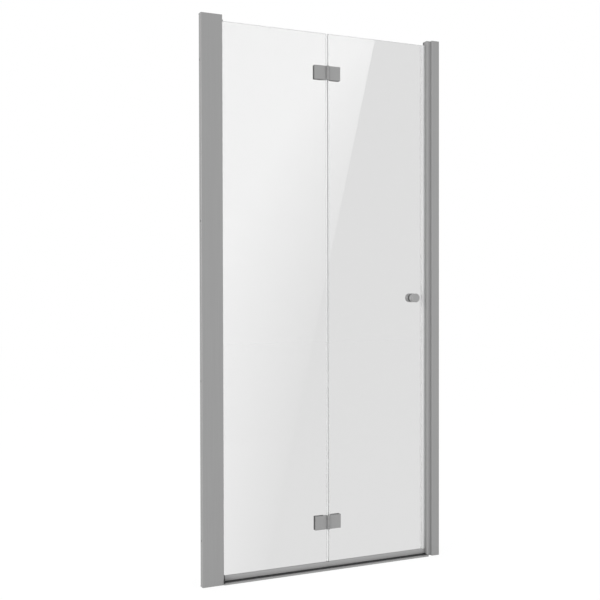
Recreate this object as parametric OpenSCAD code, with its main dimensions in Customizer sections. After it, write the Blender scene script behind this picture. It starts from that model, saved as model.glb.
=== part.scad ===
// Bifold shower door for a recess, folding inwards.
// X runs along the opening, Y into the shower, Z up from the tray.
// Origin: middle of the opening, middle of the glass, underside of the threshold.

/* [Opening] */
// Width between the two walls
opening_w = 900; // [880:1:960]
// Height of the wall profiles over their caps
frame_h = 1850; // [1800:1:1950]
// How far the fold stands right of the middle
fold_shift = 12; // [6:1:16]
// Front plane of the profiles ahead of the middle of the glass
front_y = 29; // [28:0.5:32]

/* [Glass] */
// Thickness of both panes
glass_t = 6; // [5:0.5:8]
// Top edge of the panes below the top of the frame
glass_drop = 13; // [12:0.5:18]
// Ground bevel along the edges of the glass
arris = 0.6; // [0.4:0.1:1]

/* [Wall profiles] */
// Wall of every aluminium profile
wall_t = 2; // [1.8:0.1:2.2]
// Thickness of the end caps
cap_t = 3; // [2:0.5:4]
// Face width of the pivot profile
pivot_face_w = 73; // [72:0.5:78]
// Pivot axis from the open edge of the pivot profile
pivot_back = 13; // [12.5:0.1:14]
// Depth of the left wall channel
left_channel_d = 18; // [17:0.5:18.5]
// Reach of the left wall channel from the wall
left_channel_w = 34; // [28:1:38]
// Face width of the right wall channel
right_channel_w = 31; // [27:1:34]
// Closing face of the inner right profile from the wall
closing_in = 46.5; // [44:0.5:60]
// Depth of the inner right profile
closing_d = 24.5; // [24:0.5:30]
// Front of the closing profile before the middle of the glass
closing_front = 18; // [17:0.5:20]
// Radius of the front corners
corner_r = 1.5; // [1:0.1:1.8]
// Radius of the wall screw holes
wall_hole_r = 3; // [2.5:0.1:3.5]
// Lowest wall screw hole above the floor
wall_hole_z = 150; // [120:1:180]
// Clamping screws from the end of the profiles
clamp_end = 200; // [170:1:300]
// Radius of the clamping screws
clamp_r = 1.9; // [1.5:0.1:2.2]
// Length of the clamping screws under the head
clamp_l = 8; // [7:0.5:10]
// Clamping screws from the left wall
clamp_left = 20; // [14:0.5:24]
// Clamping screws from the right wall
clamp_right = 20; // [18:0.5:24]

/* [Pivot] */
// Outer radius of the pivot post
post_r = 11; // [10.8:0.1:11.2]
// Reach of the post's jaws from the axis
jaw_x = 21; // [20:0.5:23]
// Radius of the pivot pins
pivot_pin_r = 4; // [3.5:0.1:4.2]
// Outer radius of the pivot bushes
bush_r = 6; // [5.8:0.1:6.4]

/* [Glass hinges] */
// Height of a hinge
hinge_h = 48; // [44:1:52]
// Middle of the lower hinge above the floor
hinge_low_z = 160; // [150:1:200]
// Middle of the upper hinge below the top of the frame
hinge_top_drop = 148; // [140:1:200]
// Outer edge of the plates from the fold axis
plate_out = 49; // [48:0.5:54]
// Inner edge of the front plates from the fold axis
plate_in = 6.5; // [6.4:0.1:7]
// Inner edge of the back plates from the fold axis
back_in = 13; // [12:0.5:15]
// Thickness of the plates
plate_t = 5; // [4.5:0.1:5.4]
// Bevel round the outer face of the plates
plate_bevel = 0.8; // [0.4:0.1:1.2]
// Radius of the knuckles
knuckle_r = 6; // [5.6:0.1:6.2]
// Bevel at the ends of the knuckles
knuckle_bevel = 0.4; // [0.2:0.1:0.6]
// Radius of the hinge pins
hinge_pin_r = 2.5; // [2:0.1:3]
// Radius of the hinge screws
screw_r = 2.5; // [2:0.1:2.7]
// Screws from the fold axis
screw_x = 30; // [29:0.5:32]
// Screws above and below the middle of a hinge
screw_z = 12; // [11:0.5:13]

/* [Knob] */
// Outer radius of the knob
knob_r = 15.75; // [14:0.25:18]
// Radius of its waist
knob_waist_r = 13.25; // [12:0.25:13.5]
// Length of each half
knob_l = 21.5; // [20:0.5:24]
// Knob from the closing edge of the glass
knob_in = 38; // [34:1:60]
// Height of the knob
knob_z = 930; // [880:1:1000]

/* [Threshold] */
// Depth of the threshold over the floor
sill_d = 66; // [64:1:70]
// Height of its aluminium strip
sill_h = 4.6; // [4.4:0.1:6]
// Height of its rubber over the strip
sill_seal_h = 1; // [0.8:0.1:1.5]
// Height of the drip rails
rail_h = 15.7; // [14:0.1:20]
// Height of the corner seal on the threshold
corner_h = 31; // [28:0.5:34]
// Corner seal behind the front edge of the threshold
corner_in = 9; // [8:0.5:10]
// Depth of the corner seal
corner_d = 12; // [10:0.5:13]

/* [Hidden] */
$fn = 96;
slide_gap = 0.2;      // profiles that telescope
run_gap = 0.5;        // post in its seat
turn_gap = 0.3;       // faces that turn on each other
pin_gap = 0.08;       // pin in a bush
fit_gap = 0.02;       // screwed or pressed parts
wipe_gap = 0.4;       // wipers over the threshold
close_gap = 0.8;      // closing seal to the closing profile
gasket_t = 1;         // hinge gaskets
glaze_t = 1.5;        // glazing gasket in the jaws
washer_t = 1.5;       // knob washers
plug_t = 4;           // end plugs of the post
flange_t = 1;         // flange of a bush
over = 1;             // through cuts
fin_l = 6;            // fins of the seals on the glass
closing_tail = 10;    // closing profile from the right wall
magnet_t = 3;         // magnets
magnet_h = 4;         // half of their width
block_screw_r = 1.4;  // screws of the pivot blocks
half_t = glass_t / 2;
wall_x = opening_w / 2;
pivot_in = pivot_face_w - pivot_back;
pivot_x = pivot_in - wall_x;
fold_x = fold_shift;
fold_y = -(half_t + 7);
closing_x = wall_x - closing_in;
// heights
sill_top = sill_h + sill_seal_h;
rail_z = sill_top + wipe_gap;
glass_z = rail_z + 6;
glass_top = frame_h - glass_drop;
post_top = glass_top + plug_t;
post_low = glass_z - plug_t;
rail_top = rail_z + rail_h;
cap_top = frame_h - cap_t;
hinge_top_z = frame_h - hinge_top_drop;
// left profile and post
chan_front = -front_y + wall_t + slide_gap;
chan_rear = chan_front + left_channel_d;
pocket_rear = chan_rear + slide_gap;
pocket_in = pivot_in - 16;
seat_r = post_r + run_gap;
seat_out = seat_r + wall_t;
slot_h = half_t + glaze_t;
jaw_h = slot_h + wall_t;
seat_cut = asin((jaw_h + run_gap) / seat_r);
block_screw_x = (bush_r + seat_r - slide_gap) / 2;
web_y = -(jaw_h + 2.5);
pivot_edge = pivot_x + 8.5;
pivot_glass_r = fold_x - 2;
fold_glass_l = fold_x + 4;
fold_glass_r = closing_x - 11;
knob_x = fold_glass_r - knob_in;
// right profile
box_front = -closing_front;
box_rear = closing_d - closing_front;
pocket_x = magnet_t + slide_gap - closing_in;
lip_rear = box_front - slide_gap;
right_rear = box_rear + slide_gap;
// hinge
plate_y = half_t + gasket_t;
half_knuckle = hinge_h / 4;
glass_hole_r = 6;
sleeve_r = glass_hole_r - 0.05;

// ---- helpers ----
module up(z0, z1) { translate([0, 0, z0]) linear_extrude(z1 - z0) children(); }
module along_x(x0, x1) {
  translate([x0, 0, 0]) rotate([90, 0, 90]) linear_extrude(x1 - x0) children();
}
module along_y(y0, y1) {
  translate([0, y1, 0]) rotate([90, 0, 0]) linear_extrude(y1 - y0) children();
}
module rod_y(x, z, y0, y1, r) {
  translate([x, y1, z]) rotate([90, 0, 0]) cylinder(h = y1 - y0, r = r);
}
module rod_x(y, z, x0, x1, r) {
  translate([x0, y, z]) rotate([0, 90, 0]) cylinder(h = x1 - x0, r = r);
}
module rect(x0, x1, y0, y1) { translate([x0, y0]) square([x1 - x0, y1 - y0]); }
module round_rect(x0, x1, y0, y1, r) {
  rect(x0 + r, x1 - r, y0, y1);
  rect(x0, x1, y0 + r, y1 - r);
  for (x = [x0 + r, x1 - r], y = [y0 + r, y1 - r]) translate([x, y]) circle(r = r);
}
// rectangle with all four corners cut off at 45 degrees
module cut_rect(x0, x1, y0, y1, c) {
  polygon([[x0 + c, y0], [x1 - c, y0], [x1, y0 + c], [x1, y1 - c], [x1 - c, y1], [x0 + c, y1],
    [x0, y1 - c], [x0, y0 + c]]);
}
// points of a rectangle from a0 to a1, with the two corners at b1 cut off at 45 degrees
function face_bevel(a0, a1, b0, b1, c) = [[a0, b0], [a1, b0], [a1, b1 - sign(b1 - b0) * c],
  [a1 - c, b1], [a0 + c, b1], [a0, b1 - sign(b1 - b0) * c]];
// a hollow corner of a profile, rounded outside, s = +1 for a right-hand corner
module round_corner(x, y, s, r, t) {
  intersection() {
    difference() {
      translate([x - s * r, y + r]) circle(r = r);
      if (r > t) translate([x - s * r, y + r]) circle(r = r - t);
    }
    translate([min(x, x - s * r), y]) square(r);
  }
}
module at_left() { translate([-wall_x, 0, 0]) children(); }
module at_right() { translate([wall_x, 0, 0]) children(); }
module at_pivot() { translate([pivot_x, 0, 0]) children(); }
module at_fold(z) { translate([fold_x, 0, z]) children(); }
module wall_holes(x0, x1, y) {
  for (i = [0:3])
    rod_x(y, wall_hole_z + i * (frame_h - 2 * wall_hole_z) / 3, x0, x1, wall_hole_r);
}
clamp_z = [clamp_end, frame_h / 2, frame_h - clamp_end];
// pan-head screw along -Y with its head on the face y
module pan_screw(x, z, y, l, r) {
  difference() {
    union() {
      rod_y(x, z, y - l, y + r / 4, r);
      rod_y(x, z, y, y + r, 2 * r);
    }
    translate([x, y + r + over, z]) rotate([90, 0, 0])
      cylinder(h = 0.6 * r + over, r = 0.6 * r, $fn = 6);
  }
}

// ---- left wall ----
module left_wall_channel() {
  color("#a0a2a4") at_left() difference() {
    up(cap_t, cap_top) {
      rect(0, wall_t, chan_front, chan_rear);
      rect(0, left_channel_w, chan_front, chan_front + wall_t);
      rect(0, left_channel_w, chan_rear - wall_t, chan_rear);
    }
    wall_holes(-over, wall_t + over, (chan_front + chan_rear) / 2);
    for (z = clamp_z)
      rod_y(clamp_left, z, chan_rear - wall_t - over, chan_rear + over, clamp_r + fit_gap);
  }
}
module seat_2d() {
  far = 3 * seat_out;
  translate([pivot_in, 0]) difference() {
    circle(r = seat_out);
    circle(r = seat_r);
    polygon([[0, 0], [far * cos(seat_cut), -far * sin(seat_cut)], [far, far],
      [-far * sin(seat_cut), far * cos(seat_cut)]]);
  }
}
module pivot_profile() {
  color("#a0a2a4") at_left() difference() {
    up(cap_t, cap_top) {
      // front wall and its rounded corners
      rect(corner_r, pivot_face_w - corner_r, -front_y, -front_y + wall_t);
      rect(0, pivot_face_w, -front_y + corner_r, -front_y + wall_t);
      round_corner(0, -front_y, -1, corner_r, wall_t);
      round_corner(pivot_face_w, -front_y, 1, corner_r, wall_t);
      // side wall and web to the seat
      rect(pivot_face_w - wall_t, pivot_face_w, -front_y + corner_r, web_y);
      rect(pivot_in + 8, pivot_face_w, web_y - wall_t, web_y);
      // pocket round the wall channel
      rect(pocket_in, pocket_in + wall_t, -front_y + wall_t, pocket_rear);
      rect(3, pivot_in - 10, pocket_rear, pocket_rear + wall_t);
      seat_2d();
    }
    for (z = clamp_z)
      rod_y(clamp_left, z, pocket_rear - over, pocket_rear + wall_t + over, clamp_r + turn_gap);
  }
}
module pivot_profile_screws() {
  color("#8c8f92") at_left()
    for (z = clamp_z) pan_screw(clamp_left, z, pocket_rear + wall_t, clamp_l, clamp_r);
}
module left_cap_2d() {
  rect(corner_r, pivot_face_w - corner_r, -front_y, pocket_rear + wall_t);
  rect(0, pivot_face_w, -front_y + corner_r, web_y);
  rect(0, pivot_in, -front_y + corner_r, pocket_rear + wall_t);
  round_corner(0, -front_y, -1, corner_r, wall_t);
  round_corner(pivot_face_w, -front_y, 1, corner_r, wall_t);
  intersection() {
    translate([pivot_in, 0]) circle(r = seat_out);
    rect(0, pivot_face_w, -front_y, front_y);
  }
}
module left_spigot_2d() {
  rect(pocket_in + wall_t + slide_gap, pivot_face_w - wall_t - slide_gap,
    -front_y + wall_t + slide_gap, -seat_out - slide_gap);
}
block_screw_a = [45, 225];
module left_top_cap() {
  color("#a0a2a4") difference() {
    union() {
      at_left() up(cap_top, frame_h) left_cap_2d();
      at_left() up(cap_top - 6, cap_top) left_spigot_2d();
    }
    at_pivot() for (a = block_screw_a) rotate([0, 0, a]) translate([block_screw_x, 0, 0]) {
      translate([0, 0, cap_top - over])
        cylinder(h = cap_t + 2 * over, r = block_screw_r + slide_gap);
      translate([0, 0, frame_h - block_screw_r])
        cylinder(h = block_screw_r, r1 = block_screw_r + slide_gap, r2 = 2 * block_screw_r + slide_gap);
    }
  }
}
module left_bottom_cap() {
  color("#a0a2a4") difference() {
    union() {
      at_left() up(0, cap_t) left_cap_2d();
      at_left() up(cap_t, cap_t + 6) left_spigot_2d();
    }
    at_pivot() for (a = block_screw_a) rotate([0, 0, a]) translate([block_screw_x, 0, 0]) {
      translate([0, 0, -over]) cylinder(h = cap_t + 2 * over, r = block_screw_r + slide_gap);
      cylinder(h = block_screw_r, r1 = 2 * block_screw_r + slide_gap, r2 = block_screw_r + slide_gap);
    }
  }
}
// block that fills the seat and carries a bush
module pivot_block(z0, z1) {
  at_pivot() difference() {
    translate([0, 0, z0]) cylinder(h = z1 - z0, r = seat_r - slide_gap);
    translate([0, 0, z0 - over]) cylinder(h = z1 - z0 + 2 * over, r = bush_r + fit_gap);
    for (a = block_screw_a) rotate([0, 0, a])
      translate([block_screw_x, 0, z0 - over])
        cylinder(h = z1 - z0 + 2 * over, r = block_screw_r + fit_gap);
  }
}
upper_block_z = post_top + turn_gap + flange_t;
lower_block_z = post_low - turn_gap - flange_t;
module upper_pivot_block() { color("#d8d8d4") pivot_block(upper_block_z, cap_top); }
module lower_pivot_block() { color("#d8d8d4") pivot_block(cap_t, lower_block_z); }
// countersunk screw hanging from its flat head
module block_screw(l) {
  difference() {
    union() {
      translate([0, 0, -l]) cylinder(h = l - 0.5, r = block_screw_r);
      translate([0, 0, -block_screw_r])
        cylinder(h = block_screw_r, r1 = block_screw_r, r2 = 2 * block_screw_r);
    }
    translate([0, 0, -0.9]) cylinder(h = 0.9 + over, r = 0.9, $fn = 6);
  }
}
module pivot_block_screws() {
  color("#8c8f92") at_pivot() for (a = block_screw_a) rotate([0, 0, a]) translate([block_screw_x, 0, 0]) {
    translate([0, 0, frame_h]) block_screw(lower_block_z - 0.7);
    rotate([180, 0, 0]) block_screw(lower_block_z - 0.7);
  }
}
module pivot_bush(l) {
  difference() {
    union() {
      cylinder(h = flange_t, r = 8);
      cylinder(h = flange_t + l, r = bush_r);
    }
    translate([0, 0, -over]) cylinder(h = flange_t + l + 2 * over, r = pivot_pin_r + pin_gap);
  }
}
module pivot_bushes() {
  color("#e4e2da") at_pivot() {
    translate([0, 0, post_top + turn_gap]) pivot_bush(cap_top - upper_block_z);
    translate([0, 0, post_low - turn_gap]) rotate([180, 0, 0]) pivot_bush(lower_block_z - cap_t);
  }
}
module pivot_lip_seal() {
  color("#2c2c2e") at_left() up(post_low, glass_top) {
    rect(pivot_face_w - 0.8 * wall_t, pivot_face_w, web_y, web_y + 1);
    rect(pivot_face_w - 0.6 * wall_t, pivot_face_w - 0.2 * wall_t, web_y + 1, -jaw_h - turn_gap);
  }
}

// ---- right wall ----
module right_wall_channel() {
  color("#a0a2a4") at_right() difference() {
    up(cap_t, cap_top) {
      rect(corner_r - right_channel_w, -corner_r, -front_y, -front_y + wall_t);
      rect(-right_channel_w, 0, -front_y + corner_r, -front_y + wall_t);
      round_corner(-right_channel_w, -front_y, -1, corner_r, wall_t);
      round_corner(0, -front_y, 1, corner_r, wall_t);
      rect(-right_channel_w, wall_t - right_channel_w, -front_y + corner_r, lip_rear);
      rect(-wall_t, 0, -front_y + corner_r, right_rear + wall_t);
      rect(-right_channel_w, 0, right_rear, right_rear + wall_t);
    }
    wall_holes(-wall_t - over, over, right_hole_y);
    for (z = clamp_z)
      rod_y(-clamp_right, z, right_rear - over, right_rear + wall_t + over, clamp_r + turn_gap);
  }
}
right_hole_y = (right_rear + wall_t - front_y) / 2;
module closing_profile() {
  color("#a0a2a4") at_right() difference() {
    up(cap_t, cap_top) difference() {
      union() {
        difference() {
          rect(-closing_in, -closing_tail, box_front, box_rear);
          rect(wall_t - closing_in, -closing_tail - wall_t, box_front + wall_t, box_rear - wall_t);
        }
        rect(-closing_in, pocket_x + wall_t, -magnet_h - wall_t - slide_gap,
          magnet_h + wall_t + slide_gap);
      }
      rect(-closing_in - over, pocket_x, -magnet_h - slide_gap, magnet_h + slide_gap);
    }
    for (z = clamp_z)
      rod_y(-clamp_right, z, box_rear - wall_t - over, box_rear + over, clamp_r + fit_gap);
  }
}
module closing_profile_screws() {
  color("#8c8f92") at_right()
    for (z = clamp_z) pan_screw(-clamp_right, z, right_rear + wall_t, clamp_l, clamp_r);
}
module right_cap_2d() {
  rect(corner_r - right_channel_w, -corner_r, -front_y, right_rear + wall_t);
  rect(-right_channel_w, 0, -front_y + corner_r, right_rear + wall_t);
  round_corner(-right_channel_w, -front_y, -1, corner_r, wall_t);
  round_corner(0, -front_y, 1, corner_r, wall_t);
  rect(-closing_in, -right_channel_w, box_front, box_rear);
}
module right_spigot_2d() {
  rect(pocket_x + wall_t + slide_gap, -closing_tail - wall_t - slide_gap,
    box_front + wall_t + slide_gap, box_rear - wall_t - slide_gap);
}
module right_top_cap() {
  color("#a0a2a4") at_right() {
    up(cap_top, frame_h) right_cap_2d();
    up(cap_top - 6, cap_top) right_spigot_2d();
  }
}
module right_bottom_cap() {
  color("#a0a2a4") at_right() {
    up(0, cap_t) right_cap_2d();
    up(cap_t, cap_t + 6) right_spigot_2d();
  }
}
module frame_magnet() {
  color("#b9babb") at_right() up(rail_top, glass_top)
    rect(slide_gap - closing_in, pocket_x, -magnet_h, magnet_h);
}

// ---- threshold ----
sill_l = -wall_x + pivot_face_w;
sill_r = closing_x - slide_gap;
sill_end = closing_x - 17;
corner_w = 3.5;
seal_y0 = 10 - sill_d / 2;
seal_y1 = -3;
module sill_2d() {
  difference() {
    union() {
      polygon([[1.5 - sill_d / 2, 0], [sill_d / 2, 0], [sill_d / 2, 1.2], [seal_y1, sill_h],
        [1.5 - sill_d / 2, sill_h]]);
      rect(-sill_d / 2, 2 - sill_d / 2, 0, sill_h - 1.5);
      translate([1.5 - sill_d / 2, sill_h - 1.5]) circle(r = 1.5);
    }
    rect(seal_y0 + 2, seal_y1 - 2, sill_h - 2.4, sill_h + over);
  }
}
// everything between two slanted planes, x0 and x1 where they meet the floor
module sill_slice(x0, x1) {
  along_y(-sill_d / 2 - over, sill_d / 2 + over) {
    h = sill_h + 8;
    polygon([[x0 + 1.2, -1], [x1 + 1.2, -1], [x1 - 1.2 * h, h], [x0 - 1.2 * h, h]]);
  }
}
module threshold_strip() {
  color("#a0a2a4") intersection() {
    along_x(sill_l, sill_end + 2) sill_2d();
    sill_slice(sill_l - sill_d, sill_end);
  }
}
module threshold_joint() {
  color("#202022") intersection() {
    along_x(sill_end - 20, sill_end + 5) sill_2d();
    sill_slice(sill_end, sill_end + 1);
  }
}
module right_threshold_block() {
  color("#a0a2a4") intersection() {
    along_x(sill_end - 20, sill_r) sill_2d();
    sill_slice(sill_end + 1, sill_r + sill_d);
  }
}
module threshold_seal() {
  color("#202022") along_x(sill_l + corner_w, sill_r) {
    rect(seal_y0 + 2 + slide_gap, seal_y1 - 2 - slide_gap, sill_h - 2.4, sill_h);
    polygon([[seal_y0, sill_h], [seal_y1, sill_h], [seal_y1 - 1, sill_top],
      [seal_y0 + 1.5, sill_top]]);
  }
}
module left_threshold_block() {
  front = corner_in - sill_d / 2;
  color("#202022") along_x(sill_l, sill_l + corner_w)
    polygon([[1.5 - sill_d / 2, sill_h], [front + corner_d, sill_h], [front + corner_d, corner_h],
      [front, corner_h], [1.5 - sill_d / 2, sill_h + 7.4]]);
}

// ---- pivoting pane ----
module pane_hole(x, z) { rod_y(x, z, -half_t - over, half_t + over, glass_hole_r); }
// a pane with all its edges bevelled
module pane(x0, x1) {
  intersection() {
    up(glass_z, glass_top) cut_rect(x0, x1, -half_t, half_t, arris);
    along_x(x0, x1) cut_rect(-half_t, half_t, glass_z, glass_top, arris);
  }
}
module pivot_glass() {
  color("#d8e6e4", 0.35) difference() {
    pane(pivot_edge, pivot_glass_r);
    for (c = [hinge_low_z, hinge_top_z], d = [-1, 1]) pane_hole(fold_x - screw_x, c + d * screw_z);
  }
}
module post_2d() {
  difference() {
    union() {
      circle(r = post_r);
      rect(0, jaw_x, -jaw_h, jaw_h);
    }
    rect(7, jaw_x + over, -slot_h, slot_h);
    circle(r = pivot_pin_r + fit_gap);
    post_hollow_2d(0);
  }
}
// the two hollow chambers behind the glass slot, g smaller all round
module post_hollow_2d(g) {
  difference() {
    circle(r = post_r - wall_t - g);
    circle(r = pivot_pin_r + 2 + g);
    rect(5 - g, 30, -30, 30);
    rect(-30, 30, -1 - g, 1 + g);
  }
}
module hinge_post() { color("#a0a2a4") at_pivot() up(glass_z, glass_top) post_2d(); }
module post_gasket() {
  color("#2c2c2e") at_pivot() up(glass_z, glass_top) difference() {
    rect(7, jaw_x, -slot_h, slot_h);
    rect(8.5, jaw_x + over, -half_t, half_t);
  }
}
module post_plug(nose) {
  difference() {
    union() {
      up(0, plug_t) {
        circle(r = post_r);
        rect(0, jaw_x, -jaw_h, jaw_h);
        if (nose > 0) round_rect(jaw_x - 4, jaw_x + nose, -4, 4, 1.5);
      }
      up(-8, 0) post_hollow_2d(slide_gap);
    }
    translate([0, 0, -over]) cylinder(h = plug_t + 2 * over, r = pivot_pin_r + fit_gap);
  }
}
module post_top_plug() {
  color("#a0a2a4") at_pivot() translate([0, 0, glass_top]) post_plug(4);
}
module post_bottom_plug() {
  color("#2c2c2e") at_pivot() translate([0, 0, glass_z]) rotate([180, 0, 0]) post_plug(0);
}
module pivot_pins() {
  color("#8c8f92") at_pivot() {
    translate([0, 0, post_top - 25]) cylinder(h = cap_top - 1 - post_top + 25, r = pivot_pin_r);
    translate([0, 0, cap_t + 1]) cylinder(h = post_low + 25 - cap_t - 1, r = pivot_pin_r);
  }
}
// channel that clips on the foot of a pane
rail_y = half_t + 2;
rail_x = pivot_x + jaw_x + 0.5;
module rail_2d() {
  difference() {
    rect(-rail_y, rail_y, rail_z, rail_top);
    rect(-half_t, half_t, glass_z, rail_top + over);
    rect(-half_t, half_t, rail_z - over, glass_z - 2);
  }
}
// seal blade held in the groove under a rail
module wiper_2d() {
  rect(-half_t, half_t, glass_z - 3.2, glass_z - 2);
  rect(-2.2, -1, rail_z, glass_z - 3.2);
  rect(1, 2.2, rail_z, glass_z - 3.2);
}
module pivot_drip_rail() {
  color("#a8aaac") along_x(rail_x, fold_x - slide_gap) rail_2d();
}
module pivot_wiper() {
  color("#2c2c2e") along_x(rail_x, fold_x - 2 * slide_gap) wiper_2d();
}

// ---- glass hinges, drawn about the fold axis at the middle of a hinge ----
module knuckle(z0, z1, hole) {
  l = z1 - z0;
  e = knuckle_bevel;
  translate([0, fold_y, z0]) difference() {
    rotate_extrude() polygon([[0, 0], [knuckle_r - e, 0], [knuckle_r, e], [knuckle_r, l - e],
      [knuckle_r - e, l], [0, l]]);
    translate([0, 0, -over]) cylinder(h = l + 2 * over, r = hole);
  }
}
module blind_holes(s) {
  for (d = [-1, 1])
    rod_y(s * screw_x, d * screw_z, -plate_y - plate_t + 1.5, -plate_y + over, screw_r + fit_gap);
}
module web(s, z0, z1) {
  difference() {
    translate([s < 0 ? -plate_in - 4 : 0, -plate_y - plate_t, z0])
      cube([plate_in + 4, plate_t, z1 - z0]);
    translate([0, fold_y, z0 - over]) cylinder(h = z1 - z0 + 2 * over, r = hinge_pin_r + 1);
  }
}
// plate with rounded corners and a bevel round its face, from y0 on the glass to y1
module plate_body(x0, x1, y0, y1) {
  half_h = hinge_h / 2;
  intersection() {
    along_y(min(y0, y1), max(y0, y1)) round_rect(x0, x1, -half_h, half_h, 2);
    up(-half_h, half_h) polygon(face_bevel(x0, x1, y0, y1, plate_bevel));
    along_x(x0, x1)
      polygon([for (q = face_bevel(-half_h, half_h, y0, y1, plate_bevel)) [q[1], q[0]]]);
  }
}
module pivot_plate() {
  difference() {
    union() {
      plate_body(-plate_out, -plate_in, -plate_y, -plate_y - plate_t);
      web(-1, half_knuckle + turn_gap / 2, hinge_h / 2);
      web(-1, -hinge_h / 2, -half_knuckle - turn_gap / 2);
      knuckle(half_knuckle + turn_gap / 2, hinge_h / 2, hinge_pin_r + fit_gap);
      knuckle(-hinge_h / 2, -half_knuckle - turn_gap / 2, hinge_pin_r + fit_gap);
    }
    blind_holes(-1);
  }
}
module folding_plate() {
  difference() {
    union() {
      plate_body(plate_in, plate_out, -plate_y, -plate_y - plate_t);
      web(1, -half_knuckle + turn_gap / 2, half_knuckle - turn_gap / 2);
      knuckle(-half_knuckle + turn_gap / 2, half_knuckle - turn_gap / 2, hinge_pin_r + 0.05);
    }
    blind_holes(1);
  }
}
module back_plate(s) {
  difference() {
    plate_body(min(s * back_in, s * plate_out), max(s * back_in, s * plate_out),
      plate_y, plate_y + plate_t);
    for (d = [-1, 1]) {
      rod_y(s * screw_x, d * screw_z, plate_y - over, plate_y + plate_t + over, screw_r + 0.1);
      translate([s * screw_x, plate_y + plate_t, d * screw_z]) rotate([90, 0, 0])
        cylinder(h = 2.5, r1 = screw_r + 2.6, r2 = screw_r + 0.1);
    }
  }
}
module hinge_gasket(s) {
  difference() {
    union() {
      along_y(-plate_y, -half_t) round_rect(min(s * plate_in, s * plate_out),
        max(s * plate_in, s * plate_out), -hinge_h / 2, hinge_h / 2, 2);
      along_y(half_t, plate_y) round_rect(min(s * back_in, s * plate_out),
        max(s * back_in, s * plate_out), -hinge_h / 2, hinge_h / 2, 2);
    }
    for (d = [-1, 1])
      rod_y(s * screw_x, d * screw_z, -plate_y - over, plate_y + over, screw_r + 0.1);
  }
}
module hinge_screws(s) {
  for (d = [-1, 1]) translate([s * screw_x, 0, d * screw_z]) difference() {
    union() {
      rod_y(0, 0, -plate_y - plate_t + 2, plate_y + plate_t - 0.5, screw_r);
      translate([0, plate_y + plate_t, 0]) rotate([90, 0, 0])
        cylinder(h = 2.5, r1 = screw_r + 2.5, r2 = screw_r);
    }
    translate([0, plate_y + plate_t + over, 0]) rotate([90, 0, 0])
      cylinder(h = 2 + over, r = 1.5, $fn = 6);
  }
}
module glass_sleeve(x, z, r) {
  translate([x, half_t, z]) rotate([90, 0, 0]) difference() {
    cylinder(h = glass_t, r = sleeve_r);
    translate([0, 0, -over]) cylinder(h = glass_t + 2 * over, r = r);
  }
}
module hinge_sleeves(s) {
  for (d = [-1, 1]) glass_sleeve(s * screw_x, d * screw_z, screw_r + 0.1);
}
module both_hinges() {
  at_fold(hinge_low_z) children();
  at_fold(hinge_top_z) children();
}
module hinge_pin() {
  translate([0, fold_y, -hinge_h / 2]) cylinder(h = hinge_h, r = hinge_pin_r);
}
module upper_hinge_pivot_plate() { color("#74777a") at_fold(hinge_top_z) pivot_plate(); }
module lower_hinge_pivot_plate() { color("#74777a") at_fold(hinge_low_z) pivot_plate(); }
module upper_hinge_pivot_back() { color("#74777a") at_fold(hinge_top_z) back_plate(-1); }
module lower_hinge_pivot_back() { color("#74777a") at_fold(hinge_low_z) back_plate(-1); }
module pivot_hinge_gaskets() { color("#2c2c2e") both_hinges() hinge_gasket(-1); }
module pivot_hinge_screws() { color("#8c8f92") both_hinges() hinge_screws(-1); }
module pivot_hinge_sleeves() { color("#e4e2da") both_hinges() hinge_sleeves(-1); }
module upper_hinge_pin() { color("#8c8f92") at_fold(hinge_top_z) hinge_pin(); }
module lower_hinge_pin() { color("#8c8f92") at_fold(hinge_low_z) hinge_pin(); }

// ---- folding pane ----
module folding_glass() {
  color("#d8e6e4", 0.35) difference() {
    pane(fold_glass_l, fold_glass_r);
    for (c = [hinge_low_z, hinge_top_z], d = [-1, 1]) pane_hole(fold_x + screw_x, c + d * screw_z);
    pane_hole(knob_x, knob_z);
  }
}
module upper_hinge_folding_plate() { color("#74777a") at_fold(hinge_top_z) folding_plate(); }
module lower_hinge_folding_plate() { color("#74777a") at_fold(hinge_low_z) folding_plate(); }
module upper_hinge_folding_back() { color("#74777a") at_fold(hinge_top_z) back_plate(1); }
module lower_hinge_folding_back() { color("#74777a") at_fold(hinge_low_z) back_plate(1); }
module folding_hinge_gaskets() { color("#2c2c2e") both_hinges() hinge_gasket(1); }
module folding_hinge_screws() { color("#8c8f92") both_hinges() hinge_screws(1); }
module folding_hinge_sleeves() { color("#e4e2da") both_hinges() hinge_sleeves(1); }
module centre_seal_2d() {
  difference() {
    rect(pivot_glass_r + 0.4, fold_glass_l + fin_l, -half_t - 1, half_t + 1);
    rect(fold_glass_l, fold_glass_l + fin_l + over, -half_t, half_t);
    rect(pivot_glass_r + 1.6, fold_glass_l - 1.2, -half_t, half_t);
  }
}
module centre_seal() {
  color("#dcdedc", 0.5) {
    up(rail_top, hinge_low_z - hinge_h / 2 - 0.3) centre_seal_2d();
    up(hinge_low_z + hinge_h / 2 + 0.3, hinge_top_z - hinge_h / 2 - 0.3) centre_seal_2d();
    up(hinge_top_z + hinge_h / 2 + 0.3, glass_top) centre_seal_2d();
  }
}
seal_l = fold_glass_r - fin_l;
seal_r = closing_x - close_gap;
module closing_seal() {
  color("#dcdedc", 0.5) up(rail_top, glass_top) difference() {
    union() {
      rect(seal_l, fold_glass_r + 1, -half_t - 1, half_t + 1);
      rect(fold_glass_r, seal_r, -half_t - 2, half_t + 2);
    }
    rect(seal_l - over, fold_glass_r, -half_t, half_t);
    rect(fold_glass_r + 1.9, seal_r - 1.1, -half_t - 0.6, half_t + 0.6);
  }
}
module closing_magnet() {
  color("#b9babb") up(rail_top, glass_top)
    rect(fold_glass_r + 2, seal_r - 1.2, -half_t - 0.5, half_t + 0.5);
}
module folding_drip_rail() {
  color("#a8aaac") along_x(fold_x + slide_gap, seal_r) rail_2d();
}
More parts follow.
